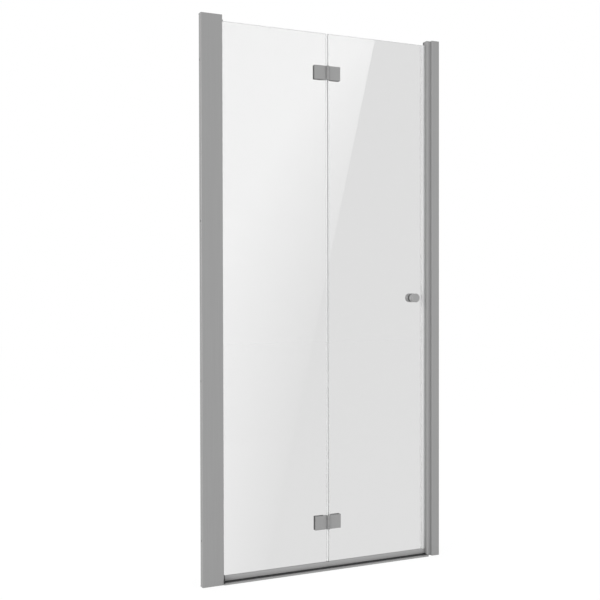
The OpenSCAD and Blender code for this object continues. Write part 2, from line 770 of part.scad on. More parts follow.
module folding_wiper() {
  color("#2c2c2e") along_x(fold_x + 2 * slide_gap, seal_r) wiper_2d();
}

// ---- knob ----
module knob_half() {
  waist = knob_r - knob_waist_r;
  span = knob_l / 2 - 2.25;
  arc_r = (span * span + waist * waist) / (2 * waist);
  rotate_extrude() difference() {
    polygon([[0, 0], [knob_r - 0.6, 0], [knob_r, 0.6], [knob_r, knob_l - 0.8],
      [knob_r - 0.8, knob_l], [0, knob_l]]);
    translate([knob_waist_r + arc_r, knob_l / 2]) circle(r = arc_r);
    rect(-over, 3 + fit_gap, -over, 15);
  }
}
module front_knob() {
  color("#74777a") translate([knob_x, -half_t - washer_t, knob_z]) rotate([90, 0, 0]) knob_half();
}
module back_knob() {
  color("#74777a") translate([knob_x, half_t + washer_t, knob_z]) rotate([-90, 0, 0]) knob_half();
}
module knob_washer(y0) {
  difference() {
    rod_y(knob_x, knob_z, y0, y0 + washer_t, knob_r - 0.5);
    rod_y(knob_x, knob_z, y0 - over, y0 + washer_t + over, 3.1);
  }
}
module knob_washers() {
  color("#202022") {
    knob_washer(-half_t - washer_t);
    knob_washer(half_t);
  }
}
module knob_stud() {
  color("#8c8f92")
    rod_y(knob_x, knob_z, -half_t - washer_t - 14, half_t + washer_t + 14, 3);
}
module knob_sleeve() { color("#e4e2da") glass_sleeve(knob_x, knob_z, 3.1); }

left_wall_channel();
pivot_profile();
pivot_profile_screws();
left_top_cap();
left_bottom_cap();
upper_pivot_block();
lower_pivot_block();
pivot_block_screws();
pivot_bushes();
pivot_lip_seal();
right_wall_channel();
closing_profile();
closing_profile_screws();
right_top_cap();
right_bottom_cap();
frame_magnet();
threshold_strip();
threshold_seal();
left_threshold_block();
right_threshold_block();
threshold_joint();
pivot_glass();
hinge_post();
post_gasket();
post_top_plug();
post_bottom_plug();
pivot_pins();
pivot_drip_rail();
pivot_wiper();
upper_hinge_pivot_plate();
lower_hinge_pivot_plate();
upper_hinge_pivot_back();
lower_hinge_pivot_back();
pivot_hinge_gaskets();
pivot_hinge_screws();
pivot_hinge_sleeves();
upper_hinge_pin();
lower_hinge_pin();
folding_glass();
upper_hinge_folding_plate();
lower_hinge_folding_plate();
upper_hinge_folding_back();
lower_hinge_folding_back();
folding_hinge_gaskets();
folding_hinge_screws();
folding_hinge_sleeves();
centre_seal();
closing_seal();
closing_magnet();
folding_drip_rail();
folding_wiper();
front_knob();
back_knob();
knob_washers();
knob_stud();
knob_sleeve();
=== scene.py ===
# Bifold shower door: two clear panes on a pivot post, between two wall profiles, over a threshold.
# Everything is in metres in the CAD frame: X along the opening, Y into the shower, Z up.
import math

import bmesh
import bpy
import numpy as np
from mathutils import Matrix, Vector


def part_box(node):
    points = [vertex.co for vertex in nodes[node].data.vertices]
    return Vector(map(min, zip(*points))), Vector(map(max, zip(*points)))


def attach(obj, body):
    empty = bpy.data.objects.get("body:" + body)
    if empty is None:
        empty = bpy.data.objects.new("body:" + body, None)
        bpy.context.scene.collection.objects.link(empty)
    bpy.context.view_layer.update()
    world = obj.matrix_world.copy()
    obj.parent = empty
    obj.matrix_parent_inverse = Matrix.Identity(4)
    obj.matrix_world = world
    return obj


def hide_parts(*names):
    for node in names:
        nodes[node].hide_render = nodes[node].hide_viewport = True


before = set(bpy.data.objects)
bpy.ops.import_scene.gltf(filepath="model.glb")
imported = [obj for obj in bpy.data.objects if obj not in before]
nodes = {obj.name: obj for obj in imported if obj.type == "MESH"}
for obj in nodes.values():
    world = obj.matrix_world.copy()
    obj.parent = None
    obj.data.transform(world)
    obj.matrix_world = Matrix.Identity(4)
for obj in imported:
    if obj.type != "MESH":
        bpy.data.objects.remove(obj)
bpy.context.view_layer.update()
scene = bpy.context.scene
scene.view_settings.view_transform = "Standard"

# ---- the studio: viewpoint ----
# The door is seen from the front left, a little below the middle of its height, with a
# moderately long lens that leaves the sides of the door almost parallel.
IMAGE_PX = 600
SENSOR_MM = 36.0
FOCAL_PX = 951.2
FARTHEST = 50
EYE = Vector((-1.4444, -2.9318, 0.9727))
TURN, DIP, ROLL = (math.radians(a) for a in (24.807, 0.831, -0.114))

look = Vector((math.sin(TURN) * math.cos(DIP), math.cos(TURN) * math.cos(DIP), -math.sin(DIP)))
level = look.cross(Vector((0, 0, 1))).normalized()
upright = level.cross(look)
across = level * math.cos(ROLL) + upright * math.sin(ROLL)
up = upright * math.cos(ROLL) - level * math.sin(ROLL)
camera_data = bpy.data.cameras.new("camera")
camera_data.sensor_width = SENSOR_MM
camera_data.lens = FOCAL_PX / IMAGE_PX * SENSOR_MM
camera_data.clip_end = FARTHEST
camera = bpy.data.objects.new("camera", camera_data)
turn = Matrix((across, up, -look)).transposed().to_4x4()
camera.matrix_world = Matrix.Translation(EYE) @ turn
scene.collection.objects.link(camera)
scene.camera = camera

# ---- the studio: white room ----
# Whatever looks straight at the room, or at its image in metal or glass, sees plain white, and
# the soft light that the room gives the object is a little weaker than that.
WHITE = (1, 1, 1, 1)
ROOM_LIGHT, ROOM_WHITE = 0.8, 1.0


def add(tree, kind, inputs=None, **settings):
    """Adds a node, sets its properties, and links or fills each named or numbered input. A Mix
    node set to RGBA has its share at 0, its two colours at 6 and 7 and its result at 2."""
    node = tree.nodes.new(kind)
    for key, value in settings.items():
        setattr(node, key, value)
    for key, value in (inputs or {}).items():
        if isinstance(value, bpy.types.NodeSocket):
            tree.links.new(value, node.inputs[key])
        else:
            node.inputs[key].default_value = value
    return node


world = bpy.data.worlds.new("white room")
world.use_nodes = True
tree = world.node_tree
tree.nodes.clear()
ray = add(tree, "ShaderNodeLightPath")
seen = add(tree, "ShaderNodeMath",
           {0: ray.outputs["Is Camera Ray"], 1: ray.outputs["Is Glossy Ray"]},
           operation="MAXIMUM")
seen = add(tree, "ShaderNodeMath", {0: seen.outputs[0], 1: ray.outputs["Is Transmission Ray"]},
           operation="MAXIMUM")
lit = add(tree, "ShaderNodeBackground", {"Color": WHITE, "Strength": ROOM_LIGHT})
white = add(tree, "ShaderNodeBackground", {"Color": WHITE, "Strength": ROOM_WHITE})
mixed = add(tree, "ShaderNodeMixShader",
            {0: seen.outputs[0], 1: lit.outputs[0], 2: white.outputs[0]})
add(tree, "ShaderNodeOutputWorld", {"Surface": mixed.outputs[0]})
scene.world = world

# ---- the studio: floor ----
# A wide floor in matt white paint, a hair under the threshold. The camera, and a pane that is
# looked through, see it mostly as plain white, so that it keeps a faint shadow of the door.
FLOOR_HALF, FLOOR_DROP = 12.0, 0.0005
FLOOR_PAINT = "f2f2f2"
FLOOR_GLOW, GLOW_SHARE = 1.055, 0.84


def linear(code):
    """sRGB hex to a linear colour: below 0.04045 divide by 12.92, above it the 2.4 power curve."""
    c = np.array([int(code[i : i + 2], 16) for i in (0, 2, 4)]) / 255
    c = np.where(c <= 0.04045, c / 12.92, ((c + 0.055) / 1.055) ** 2.4)
    return (*c.tolist(), 1.0)


def fresh(name):
    """A new material with an empty tree."""
    material = bpy.data.materials.new(name)
    material.use_nodes = True
    material.node_tree.nodes.clear()
    return material


corners = np.array([(-1, -1), (1, -1), (1, 1), (-1, 1)]) * FLOOR_HALF
floor_mesh = bpy.data.meshes.new("floor")
floor_mesh.from_pydata(np.c_[corners, np.full(4, -FLOOR_DROP)].tolist(), [], [(0, 1, 2, 3)])
floor = bpy.data.objects.new("floor", floor_mesh)
scene.collection.objects.link(floor)
floor.visible_glossy = False
paint = fresh("matt white floor paint")
tree = paint.node_tree
ray = add(tree, "ShaderNodeLightPath")
seen = add(tree, "ShaderNodeMath",
           {0: ray.outputs["Is Camera Ray"], 1: ray.outputs["Is Transmission Ray"]},
           operation="MAXIMUM")
share = add(tree, "ShaderNodeMath", {0: seen.outputs[0], 1: GLOW_SHARE}, operation="MULTIPLY")
matt = add(tree, "ShaderNodeBsdfDiffuse", {"Color": linear(FLOOR_PAINT)})
glow = add(tree, "ShaderNodeEmission", {"Color": WHITE, "Strength": FLOOR_GLOW})
mixed = add(tree, "ShaderNodeMixShader",
            {0: share.outputs[0], 1: matt.outputs[0], 2: glow.outputs[0]})
add(tree, "ShaderNodeOutputMaterial", {"Surface": mixed.outputs[0]})
floor_mesh.materials.append(paint)

# ---- the studio: soft boxes ----
# Two soft boxes, each larger than the door, stand in front of it to the left and the right and
# lean over it a little. They light it evenly, the left one more than the right one.
BOX_WIDTH, BOX_HEIGHT = 2.0, 2.4
LEFT_PLACE, LEFT_SIDE, LEFT_TALL = (-3.4, -2.2, 1.5), (0.54, -0.84, 0), (0.17, 0.11, 0.98)
RIGHT_PLACE, RIGHT_SIDE, RIGHT_TALL = (3.9, -2.4, 1.5), (0.52, 0.85, 0), (-0.17, 0.11, 0.98)
LEFT_RADIANCE, RIGHT_RADIANCE = 2.65, 0.95


def soft_box(name, place, side, tall, width, height, radiance):
    """A rectangular lamp at place, its width along side and its height along tall; it shines
    along tall x side. Its power is radiance times pi times its area."""
    data = bpy.data.lights.new(name, "AREA")
    data.shape = "RECTANGLE"
    data.size, data.size_y = width, height
    data.energy = radiance * math.pi * width * height
    lamp = bpy.data.objects.new(name, data)
    side, tall = Vector(side).normalized(), Vector(tall).normalized()
    lamp.matrix_world = Matrix.Translation(place) @ Matrix(
        (side, tall, side.cross(tall))).transposed().to_4x4()
    lamp.visible_camera = False
    lamp.visible_transmission = False
    scene.collection.objects.link(lamp)
    return lamp


soft_box("left soft box", LEFT_PLACE, LEFT_SIDE, LEFT_TALL,
         BOX_WIDTH, BOX_HEIGHT, LEFT_RADIANCE)
soft_box("right soft box", RIGHT_PLACE, RIGHT_SIDE, RIGHT_TALL,
         BOX_WIDTH, BOX_HEIGHT, RIGHT_RADIANCE)

# ---- the studio: leaning card ----
# A tall lit card that only the panes mirror: its slanting right edge is their diagonal line. It
# shines most at its top left, fades down and towards that edge, shines more below the floor, where
# only a pane's front face mirrors it, and is dark to rays that nothing has mirrored.
EDGE_LOW, EDGE_HIGH = Vector((0.869, -2.6, -0.808)), Vector((1.653, -2.6, 2.567))
CARD_WIDTH, CARD_HEIGHT, CARD_RADIANCE = 1.7, 6.0, 2.15
FADE_START, FADE_END, FADE_POWER = 0.22, 0.78, 3.0
EDGE_GLOW, EDGE_DARK, WIDTH_GAIN, BELOW_GAIN = 0.8, 0.05, 1.95, 0.8

lean = (EDGE_HIGH - EDGE_LOW).normalized()
side = lean.cross(Vector((0, -1, 0))).normalized()
card = soft_box("leaning card", (EDGE_LOW + EDGE_HIGH) / 2 - side * CARD_WIDTH / 2,
                side, lean, CARD_WIDTH, CARD_HEIGHT, CARD_RADIANCE)
card_sees = bpy.data.collections.new("panes only")
card.light_linking.receiver_collection = card_sees
card.visible_transmission = True
card.data.use_nodes = True
tree = card.data.node_tree
tree.nodes.clear()
point = add(tree, "ShaderNodeNewGeometry")
height = add(tree, "ShaderNodeSeparateXYZ", {0: point.outputs["Position"]})
spot = add(tree, "ShaderNodeSeparateXYZ", {0: point.outputs["Parametric"]})
rise = add(tree, "ShaderNodeMapRange",
           {0: spot.outputs["Y"], 1: FADE_START, 2: FADE_END, 3: 0.0, 4: 1.0})
rise = add(tree, "ShaderNodeMath", {0: rise.outputs[0], 1: FADE_POWER}, operation="POWER")
rise = add(tree, "ShaderNodeMath", {0: rise.outputs[0], 1: EDGE_GLOW, 2: EDGE_DARK},
           operation="MULTIPLY_ADD")
inset = add(tree, "ShaderNodeMath", {0: 1.0, 1: spot.outputs["X"]}, operation="SUBTRACT")
glow = add(tree, "ShaderNodeMath", {0: inset.outputs[0], 1: WIDTH_GAIN, 2: rise.outputs[0]},
           operation="MULTIPLY_ADD")
glow = add(tree, "ShaderNodeMath", {0: glow.outputs[0], 1: 1.0}, operation="MINIMUM")
below = add(tree, "ShaderNodeMath", {0: height.outputs["Z"], 1: 0.0}, operation="LESS_THAN")
below = add(tree, "ShaderNodeMath", {0: below.outputs[0], 1: BELOW_GAIN, 2: 1.0},
            operation="MULTIPLY_ADD")
glow = add(tree, "ShaderNodeMath", {0: glow.outputs[0], 1: below.outputs[0]},
           operation="MULTIPLY")
ray = add(tree, "ShaderNodeLightPath")
mirrored = add(tree, "ShaderNodeMath", {0: ray.outputs["Glossy Depth"], 1: 1.0},
               operation="MINIMUM")
glow = add(tree, "ShaderNodeMath", {0: glow.outputs[0], 1: mirrored.outputs[0]},
           operation="MULTIPLY")
glow = add(tree, "ShaderNodeEmission", {"Color": WHITE, "Strength": glow.outputs[0]})
add(tree, "ShaderNodeOutputLight", {"Surface": glow.outputs[0]})

# ---- left wall channel and pivot profile ----
# Extruded aluminium, satin anodised in natural silver. The channel is screwed to the wall, the
# profile slides over it, and caps close both ends. The die leaves faint lines along each bar, and
# the etched skin is softly matt, with a fine sparkle.
DIE_LINE_MM, GRAIN_MM, CLOUD_MM = 1.1, 0.5, 110
ALONG_Z = (1, 1, 0.004)
# The third tone, paler, is for bevels and rounded corners: wear and a painted highlight.
SILVER, SILVER_PALE, SILVER_WEAR_AND_HIGHLIGHT = "949494", "a0a0a0", "acacac"
BLACK = (0, 0, 0, 1)
UPRIGHT_METAL = 0.55
SATIN_LOW, SATIN_HIGH = 0.4, 0.48
NOISE_LOW, NOISE_HIGH = 0.3, 0.7  # where nearly all of a noise texture's values lie
SQUARE, OFF_SQUARE = 0.98, 0.75
SKIN_BUMP, SKIN_DEPTH = 0.05, 0.0002


def off_square(tree, place):
    """0 where the surface is square to an axis, rising to 1 on a bevel or a rounded corner: the
    largest part of its direction falls from SQUARE to OFF_SQUARE there."""
    parts = add(tree, "ShaderNodeVectorMath", {0: place.outputs["Normal"]}, operation="ABSOLUTE")
    parts = add(tree, "ShaderNodeSeparateXYZ", {0: parts.outputs[0]})
    most = add(tree, "ShaderNodeMath", {0: parts.outputs["X"], 1: parts.outputs["Y"]},
               operation="MAXIMUM")
    most = add(tree, "ShaderNodeMath", {0: most.outputs[0], 1: parts.outputs["Z"]},
               operation="MAXIMUM")
    return add(tree, "ShaderNodeMapRange",
               {0: most.outputs[0], 1: SQUARE, 2: OFF_SQUARE, 3: 0.0, 4: 1.0})


def satin_anodised_aluminium(name, stretch, dark, light, metal, wear_and_highlight, side=0.0):
    """Metal with faint lines drawn out along one axis, a fine grain across them, a slow change
    of gloss over the whole bar, and bevels and rounded corners in a third, paler tone: wear
    and a painted highlight. The real lines and grain are finer: both are drawn coarse enough
    to show. Faces that look along X are painted darker by the share side, which is painted
    shade."""
    material = fresh(name)
    tree = material.node_tree
    place = add(tree, "ShaderNodeTexCoord")
    along = add(tree, "ShaderNodeMapping", {"Vector": place.outputs["Object"], "Scale": stretch})
    lines = add(tree, "ShaderNodeTexNoise",
                {"Vector": along.outputs[0], "Scale": 1000 / DIE_LINE_MM, "Detail": 3.0,
                 "Roughness": 0.6})
    grain = add(tree, "ShaderNodeTexNoise",
                {"Vector": place.outputs["Object"], "Scale": 1000 / GRAIN_MM, "Detail": 2.0})
    cloud = add(tree, "ShaderNodeTexNoise",
                {"Vector": place.outputs["Object"], "Scale": 1000 / CLOUD_MM, "Detail": 2.0})
    tone = add(tree, "ShaderNodeMix", {0: lines.outputs[0], 6: linear(dark), 7: linear(light)},
               data_type="RGBA")
    # Bevels and rounded corners take the paler tone: wear and a painted highlight.
    corner = off_square(tree, place)
    tone = add(tree, "ShaderNodeMix",
               {0: corner.outputs[0], 6: tone.outputs[2], 7: linear(wear_and_highlight)}, data_type="RGBA")
    # Faces that look along X are painted darker by the share side: painted shade.
    facing = add(tree, "ShaderNodeSeparateXYZ", {0: place.outputs["Normal"]})
    facing = add(tree, "ShaderNodeMath", {0: facing.outputs["X"]}, operation="ABSOLUTE")
    facing = add(tree, "ShaderNodeMath", {0: facing.outputs[0], 1: side}, operation="MULTIPLY")
    tone = add(tree, "ShaderNodeMix",
               {0: facing.outputs[0], 6: tone.outputs[2], 7: BLACK}, data_type="RGBA")
    satin = add(tree, "ShaderNodeMapRange",
                {0: cloud.outputs[0], 1: NOISE_LOW, 2: NOISE_HIGH, 3: SATIN_LOW, 4: SATIN_HIGH})
    height = add(tree, "ShaderNodeMath", {0: lines.outputs[0], 1: grain.outputs[0]},
                 operation="ADD")
    bump = add(tree, "ShaderNodeBump",
               {"Height": height.outputs[0], "Strength": SKIN_BUMP, "Distance": SKIN_DEPTH})
    skin = add(tree, "ShaderNodeBsdfPrincipled",
               {"Base Color": tone.outputs[2], "Metallic": metal,
                "Roughness": satin.outputs[0], "Normal": bump.outputs[0]})
    add(tree, "ShaderNodeOutputMaterial", {"Surface": skin.outputs[0]})
    return material


def dress(material, *names):
    """Gives CAD nodes a material."""
    for name in names:
        nodes[name].data.materials.clear()
        nodes[name].data.materials.append(material)


upright_bar = satin_anodised_aluminium("satin anodised aluminium upright", ALONG_Z,
                                       SILVER, SILVER_PALE, UPRIGHT_METAL, SILVER_WEAR_AND_HIGHLIGHT)
dress(upright_bar, "left_wall_channel", "pivot_profile", "left_top_cap", "left_bottom_cap")

# ---- right wall channel and closing profile ----
# The same anodised extrusion: a channel screwed to the wall, and an inner bar that slides in it
# and closes against the folding pane. The inner bar is painted slightly paler, which is painted
# light, and its sides that look along X are painted darker, which is painted shade.
CLOSING, CLOSING_PALE, CLOSING_METAL = "939393", "9f9f9f", 0.2
# The inner bar's tones are painted paler than the other bars': painted light.
INNER, INNER_PALE, INNER_WEAR_AND_HIGHLIGHT, INNER_METAL = "a3a3a3", "afafaf", "b0b0b0", 0.15
# The share below paints the inner bar's sides darker: painted shade.
INNER_SIDE_SHADE = 0.25

closing_bar = satin_anodised_aluminium("satin anodised aluminium closing side", ALONG_Z,
                                       CLOSING, CLOSING_PALE, CLOSING_METAL, SILVER_WEAR_AND_HIGHLIGHT)
inner_bar = satin_anodised_aluminium("satin anodised aluminium inner bar", ALONG_Z,
                                     INNER, INNER_PALE, INNER_METAL, INNER_WEAR_AND_HIGHLIGHT, INNER_SIDE_SHADE)
dress(closing_bar, "right_wall_channel", "right_top_cap", "right_bottom_cap")
dress(inner_bar, "closing_profile")

# ---- clamp screws ----
# Small self-tapping screws of stainless steel, which clamp each profile to its wall channel and
# hold the pivot blocks: turned and bright, so smoother than the bars and a little warmer.
STEEL = "b4b2ae"
LATHE_MM = 0.4
STEEL_LOW, STEEL_HIGH = 0.2, 0.3


def turned_stainless():
    """Bright metal with fine marks from the lathe, which only change its gloss. They are drawn
    coarse enough to show."""
    material = fresh("turned stainless steel")
    tree = material.node_tree
    place = add(tree, "ShaderNodeTexCoord")
    mark = add(tree, "ShaderNodeTexNoise",
               {"Vector": place.outputs["Object"], "Scale": 1000 / LATHE_MM, "Detail": 2.0})
    sheen = add(tree, "ShaderNodeMapRange",
                {0: mark.outputs[0], 1: NOISE_LOW, 2: NOISE_HIGH, 3: STEEL_LOW, 4: STEEL_HIGH})
    skin = add(tree, "ShaderNodeBsdfPrincipled",
               {"Base Color": linear(STEEL), "Metallic": 1.0, "Roughness": sheen.outputs[0]})
    add(tree, "ShaderNodeOutputMaterial", {"Surface": skin.outputs[0]})
    return material


steel = turned_stainless()
dress(steel, "pivot_profile_screws", "closing_profile_screws", "pivot_block_screws")

# ---- threshold strip and end piece ----
# A low anodised extrusion along the rim of the tray, bedded on silicone, and a short end piece
# of the same bar by the closing profile. Its die lines run along the opening.
ALONG_X = (0.004, 1, 1)
LYING_METAL = 0.4

lying_bar = satin_anodised_aluminium("satin anodised aluminium lying", ALONG_X,
                                     SILVER, SILVER_PALE, LYING_METAL, SILVER_WEAR_AND_HIGHLIGHT)
dress(lying_bar, "threshold_strip", "right_threshold_block")

# ---- threshold seal, corner seal and joint ----
# EPDM rubber: an extruded strip, crowned and ribbed along its length for the wipers to run on and
# pressed into the threshold's groove; a moulded corner seal beside the pivot profile; and a thin
# joint. Matt black with a slight grey bloom and a fine pitted skin.
SEAL_RIBS, RIB_POINTS = 5, 141
RIB_DEPTH, SEAL_EDGE = 0.0004, 0.0002
GROOVE_SHARE = 0.78
RUBBER, RUBBER_BLOOM = "1c1c1d", "2a2a2b"
RUBBER_ROUGH, RUBBER_IOR = 0.62, 1.5
BLOOM_MM, PIT_MM = 17, 0.6
PIT_BUMP, PIT_DEPTH = 0.15, 0.0002


def matt_rubber():
    """Black with a slow grey bloom and a pitted skin. The real pits are finer: they are drawn
    coarse enough to show."""
    material = fresh("extruded EPDM rubber")
    tree = material.node_tree
    place = add(tree, "ShaderNodeTexCoord")
    bloom = add(tree, "ShaderNodeTexNoise",
                {"Vector": place.outputs["Object"], "Scale": 1000 / BLOOM_MM, "Detail": 3.0})
    pits = add(tree, "ShaderNodeTexNoise",
               {"Vector": place.outputs["Object"], "Scale": 1000 / PIT_MM, "Detail": 2.0})
    tone = add(tree, "ShaderNodeMix",
               {0: bloom.outputs[0], 6: linear(RUBBER), 7: linear(RUBBER_BLOOM)},
               data_type="RGBA")
    bump = add(tree, "ShaderNodeBump",
               {"Height": pits.outputs[0], "Strength": PIT_BUMP, "Distance": PIT_DEPTH})
    skin = add(tree, "ShaderNodeBsdfPrincipled",
               {"Base Color": tone.outputs[2], "Roughness": RUBBER_ROUGH,
                "IOR": RUBBER_IOR, "Normal": bump.outputs[0]})
    add(tree, "ShaderNodeOutputMaterial", {"Surface": skin.outputs[0]})
    return material


def drawn(name, strips, spans, lying, body, material):
    """Strips of wall drawn out along a straight line into one piece. A strip is two edge curves
    of the same number of points, and True if it runs round into itself. Point i of each curve
    stands at the start and the end of a span; quads join i to i + 1 on both curves and across
    both ends, and the two free edges of an open strip are closed. A curve's two columns are X
    and Y, drawn out along Z, or Y and Z, drawn out along X, if the piece is lying."""
    points, quads, count = [], [], 0
    for outer, inner, ring in strips:
        m = len(outer)
        i = np.arange(m if ring else m - 1)
        j = (i + 1) % m
        for start, end in spans:
            for flat, level in ((outer, start), (inner, start), (outer, end), (inner, end)):
                depth = np.full((m, 1), level)
                points.append(np.hstack([depth, flat] if lying else [flat, depth]))
            a, b, c, d = (count + k * m for k in range(4))
            quads += [np.c_[a + i, a + j, c + j, c + i], np.c_[b + j, b + i, d + i, d + j],
                      np.c_[a + i, b + i, b + j, a + j], np.c_[c + j, d + j, d + i, c + i]]
            if not ring:
                e = m - 1
                quads.append(np.array([[a, c, d, b], [a + e, b + e, d + e, c + e]]))
            count += 4 * m
    mesh = bpy.data.meshes.new(name)
    mesh.from_pydata(np.vstack(points).tolist(), [], np.vstack(quads).tolist())
    work = bmesh.new()
    work.from_mesh(mesh)
    bmesh.ops.recalc_face_normals(work, faces=work.faces)
    work.to_mesh(mesh)
    work.free()
    mesh.materials.append(material)
    piece = bpy.data.objects.new(name, mesh)
    scene.collection.objects.link(piece)
    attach(piece, body)
    return piece


def ribbed_strip():
    """Across the strip t runs from -1 to 1. The top is a thin edge and (1 - t^8) of the rest of
    the height, less ribs of half a cosine wave. Underneath it lies on the threshold, and inside
    it fills the groove."""
    lo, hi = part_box("threshold_seal")
    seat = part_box("threshold_strip")[1].z
    t = np.linspace(-1, 1, RIB_POINTS)
    y = (lo.y + hi.y) / 2 + t * (hi.y - lo.y) / 2
    rib = RIB_DEPTH * (0.5 - 0.5 * np.cos(2 * np.pi * SEAL_RIBS * t))
    top = seat + SEAL_EDGE + (hi.z - seat - SEAL_EDGE - rib) * (1 - t ** 8)
    under = np.where(np.abs(t) < GROOVE_SHARE, lo.z, seat)
    return [(np.c_[y, top], np.c_[y, under], False)], [(lo.x, hi.x)]


rubber = matt_rubber()
dress(rubber, "left_threshold_block", "threshold_joint")
strips, spans = ribbed_strip()
ribbed = drawn("ribbed_threshold_seal", strips, spans, True, "frame", rubber)
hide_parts("threshold_seal")

# ---- pivot blocks, bushes and pins ----
# The blocks and flanged bushes are moulded in natural nylon, milky and slightly waxy, and the
# pins that turn in them are stainless steel. All of them sit inside the pivot profile.
NYLON, NYLON_PALE = "dcdad0", "e6e4dc"
NYLON_ROUGH, NYLON_IOR = 0.42, 1.53
FLOW_MM = 8


def moulded_nylon():
    """Milky plastic with a faint flow pattern and a soft gloss."""
    material = fresh("moulded nylon")
    tree = material.node_tree
    place = add(tree, "ShaderNodeTexCoord")
    flow = add(tree, "ShaderNodeTexNoise",
               {"Vector": place.outputs["Object"], "Scale": 1000 / FLOW_MM, "Detail": 2.0})
    tone = add(tree, "ShaderNodeMix",
               {0: flow.outputs[0], 6: linear(NYLON), 7: linear(NYLON_PALE)}, data_type="RGBA")
    skin = add(tree, "ShaderNodeBsdfPrincipled",
               {"Base Color": tone.outputs[2], "Roughness": NYLON_ROUGH, "IOR": NYLON_IOR})
    add(tree, "ShaderNodeOutputMaterial", {"Surface": skin.outputs[0]})
    return material


nylon = moulded_nylon()
dress(nylon, "upper_pivot_block", "lower_pivot_block", "pivot_bushes")
dress(steel, "pivot_pins")

# ---- lip seal of the pivot profile ----
# A rubber bead in the mouth of the profile, with one thin lip that bows towards the round post
# and keeps the water out whichever way the post is turned.
BEAD, LIP, LIP_BOW = 0.001, 0.0005, 0.0004
LIP_POINTS = 15


def wall(line, thick, ring=False):
    """A strip of even thickness along a centre line: each point moved half the thickness to
    either side, square to the line's slope there."""
    if ring:
        slope = np.roll(line, -1, 0) - np.roll(line, 1, 0)
    else:
        slope = np.gradient(line, axis=0)
    aside = np.c_[-slope[:, 1], slope[:, 0]] * thick / 2 / np.linalg.norm(slope, axis=1)[:, None]
    return line + aside, line - aside, ring


def bowed_lip():
    """From the bead to the tip u runs from 0 to 1, and the lip bows by half a sine wave."""
    lo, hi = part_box("pivot_lip_seal")
    u = np.linspace(0, 1, LIP_POINTS)
    bowed = np.c_[(lo.x + hi.x) / 2 + LIP_BOW * np.sin(np.pi * u),
                  lo.y + BEAD + (hi.y - lo.y - BEAD) * u]
    bead = np.c_[lo.x + (hi.x - lo.x) * u, np.full(LIP_POINTS, lo.y)]
    return [wall(bowed, LIP), (bead, bead + (0, BEAD), False)], [(lo.z, hi.z)]


strips, spans = bowed_lip()
lip = drawn("bowed_lip_seal", strips, spans, False, "frame", rubber)
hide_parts("pivot_lip_seal")

# ---- pivot post ----
# A round anodised extrusion with two jaws that hold the edge of the pivoting pane in a rubber
# gasket. A metal plug closes its top, and a rubber one its foot.
POST_TONE = "9b9b9b"

round_bar = satin_anodised_aluminium("satin anodised aluminium round post", ALONG_Z,
                                     SILVER, SILVER_PALE, UPRIGHT_METAL, POST_TONE)
dress(round_bar, "hinge_post", "post_top_plug")
dress(rubber, "post_gasket", "post_bottom_plug")

# ---- panes ----
# Toughened float glass, 6 mm thick: cut, drilled, ground along its edges and then heat treated.
# The faces are clear and faintly grey, and the ground edges are frosted and a little darker.
TINT, TINT_PALE, WAVE_MM = "dcdcdc", "dddddd", 330
GROUND_EDGE, GROUND_FROST = "ced3d1", 0.6
FACE_ON = 0.9
GLASS_IOR = 1.52


def toughened_glass():
    """Clear glass whose faint grey tint changes slowly across the pane. Every face whose
    direction has less than FACE_ON along Y is a ground edge."""
    material = fresh("toughened glass")
    tree = material.node_tree
    place = add(tree, "ShaderNodeTexCoord")
    wave = add(tree, "ShaderNodeTexNoise",
               {"Vector": place.outputs["Object"], "Scale": 1000 / WAVE_MM, "Detail": 1.0})
    tint = add(tree, "ShaderNodeMix",
               {0: wave.outputs[0], 6: linear(TINT), 7: linear(TINT_PALE)}, data_type="RGBA")
    facing = add(tree, "ShaderNodeSeparateXYZ", {0: place.outputs["Normal"]})
    facing = add(tree, "ShaderNodeMath", {0: facing.outputs["Y"]}, operation="ABSOLUTE")
    ground = add(tree, "ShaderNodeMath", {0: facing.outputs[0], 1: FACE_ON},
                 operation="LESS_THAN")
    tint = add(tree, "ShaderNodeMix",
               {0: ground.outputs[0], 6: tint.outputs[2], 7: linear(GROUND_EDGE)},
               data_type="RGBA")
    frost = add(tree, "ShaderNodeMath", {0: ground.outputs[0], 1: GROUND_FROST},
                operation="MULTIPLY")
    skin = add(tree, "ShaderNodeBsdfPrincipled",
               {"Base Color": tint.outputs[2], "Roughness": frost.outputs[0], "IOR": GLASS_IOR,
                "Transmission Weight": 1.0})
    add(tree, "ShaderNodeOutputMaterial", {"Surface": skin.outputs[0]})
    return material


def let_light_through(piece):
    """A clear piece casts no shadow, and dims no light that reaches the other pieces."""
    piece.visible_shadow = False
    piece.visible_diffuse = False


dress(toughened_glass(), "pivot_glass", "folding_glass")
for pane in (nodes["pivot_glass"], nodes["folding_glass"]):
    card_sees.objects.link(pane)
    let_light_through(pane)

# ---- drip rails ----
# Slim anodised extrusions, pushed on the foot of each pane: they stiffen it, shed the water
# inwards and carry the wipers. They are painted paler than the wall profiles, which is painted
# light.
# These tones are painted paler than the wall profiles': painted light.
RAIL, RAIL_PALE, RAIL_WEAR_AND_HIGHLIGHT, RAIL_METAL = "b3b3b3", "bdbdbd", "c1c1c1", 0.3

rail_bar = satin_anodised_aluminium("satin anodised aluminium rail", ALONG_X,
                                    RAIL, RAIL_PALE, RAIL_METAL, RAIL_WEAR_AND_HIGHLIGHT)
dress(rail_bar, "pivot_drip_rail", "folding_drip_rail")

# ---- wipers ----
# Under each pane, inside its drip rail: a rubber bar with two lips that hang down and lean
# outwards, and brush over the threshold as the pane comes shut.
WIPER_HEAD, WIPER_LIP = 0.0012, 0.0006
LIP_PLACE, LIP_LEAN, LIP_SHORT = 0.0016, 0.0007, 0.00025
WIPER_POINTS = 13


